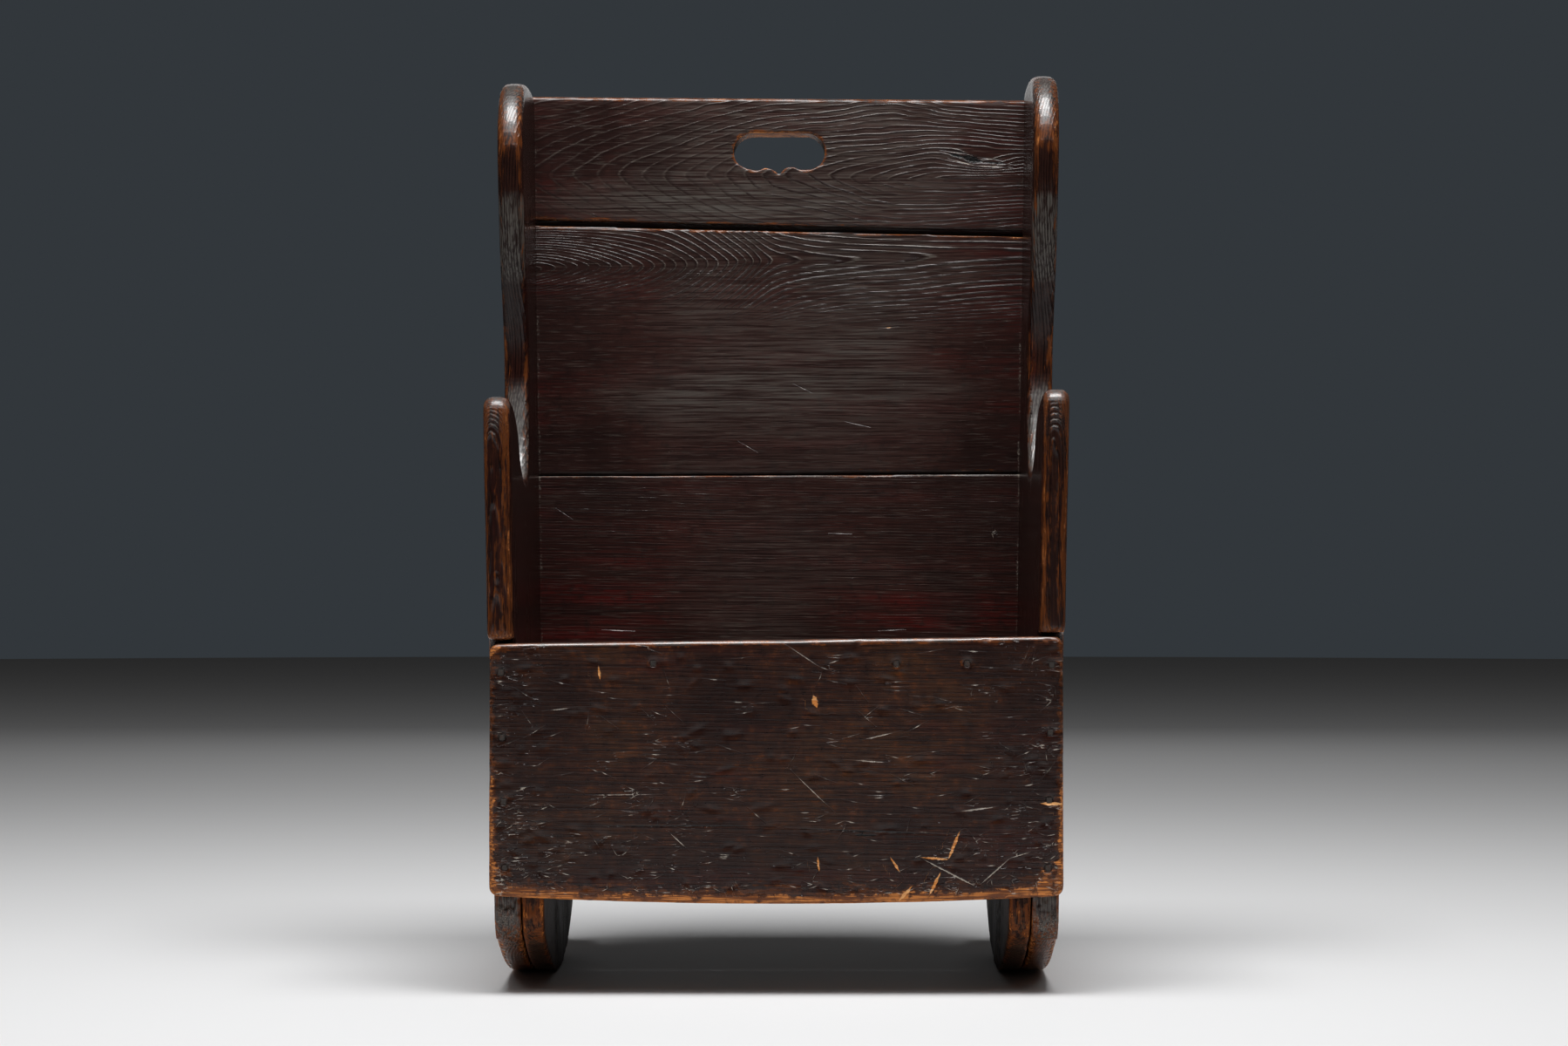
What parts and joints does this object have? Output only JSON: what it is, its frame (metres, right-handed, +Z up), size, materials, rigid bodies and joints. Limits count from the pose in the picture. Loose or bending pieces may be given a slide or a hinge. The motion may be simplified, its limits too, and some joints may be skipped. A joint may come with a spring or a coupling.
{
  "type": "child rocking chair",
  "caption": "Child's plank rocking chair with eared sides cut into curved rockers, a raked board back with a carrying hole and a closed nailed front, in dark waxed softwood.",
  "frame": {"origin": "on the floor under the middle of the chair's box, where the rockers touch the floor in height", "axes": "+Z up, -Y is the way the chair faces, +X to the right as seen from the front"},
  "size_m": [0.4419, 0.403, 0.7074],
  "materials": {
    "side_wood": "dark stained and waxed softwood, worn orange on handled edges",
    "back_wood": "dark red-brown stained and waxed softwood with raised grain",
    "front_wood": "dark stained softwood, scratched, worn bare along the lower edge",
    "seat_wood": "dark stained softwood polished by use",
    "cheek_wood": "grey-brown stained softwood, dusty and cracked",
    "nail_iron": "dark oxidised forged iron"
  },
  "bodies": {
    "root": {"left_side": "side_wood", "right_side": "side_wood", "back_top_board": "back_wood", "back_middle_board": "back_wood", "back_lower_board": "back_wood", "seat_front_board": "seat_wood", "seat_rear_board": "seat_wood", "front_board": "front_wood", "left_rocker_cheek": "cheek_wood", "right_rocker_cheek": "cheek_wood", "front_nails_left": "nail_iron", "front_nails_right": "nail_iron", "seat_front_nails": "nail_iron", "seat_back_nails": "nail_iron", "seat_nails_left": "nail_iron", "seat_nails_right": "nail_iron", "cheek_nails_left": "nail_iron", "cheek_nails_right": "nail_iron", "back_nails_left": "nail_iron", "back_nails_right": "nail_iron"}
  },
  "joints": []
}
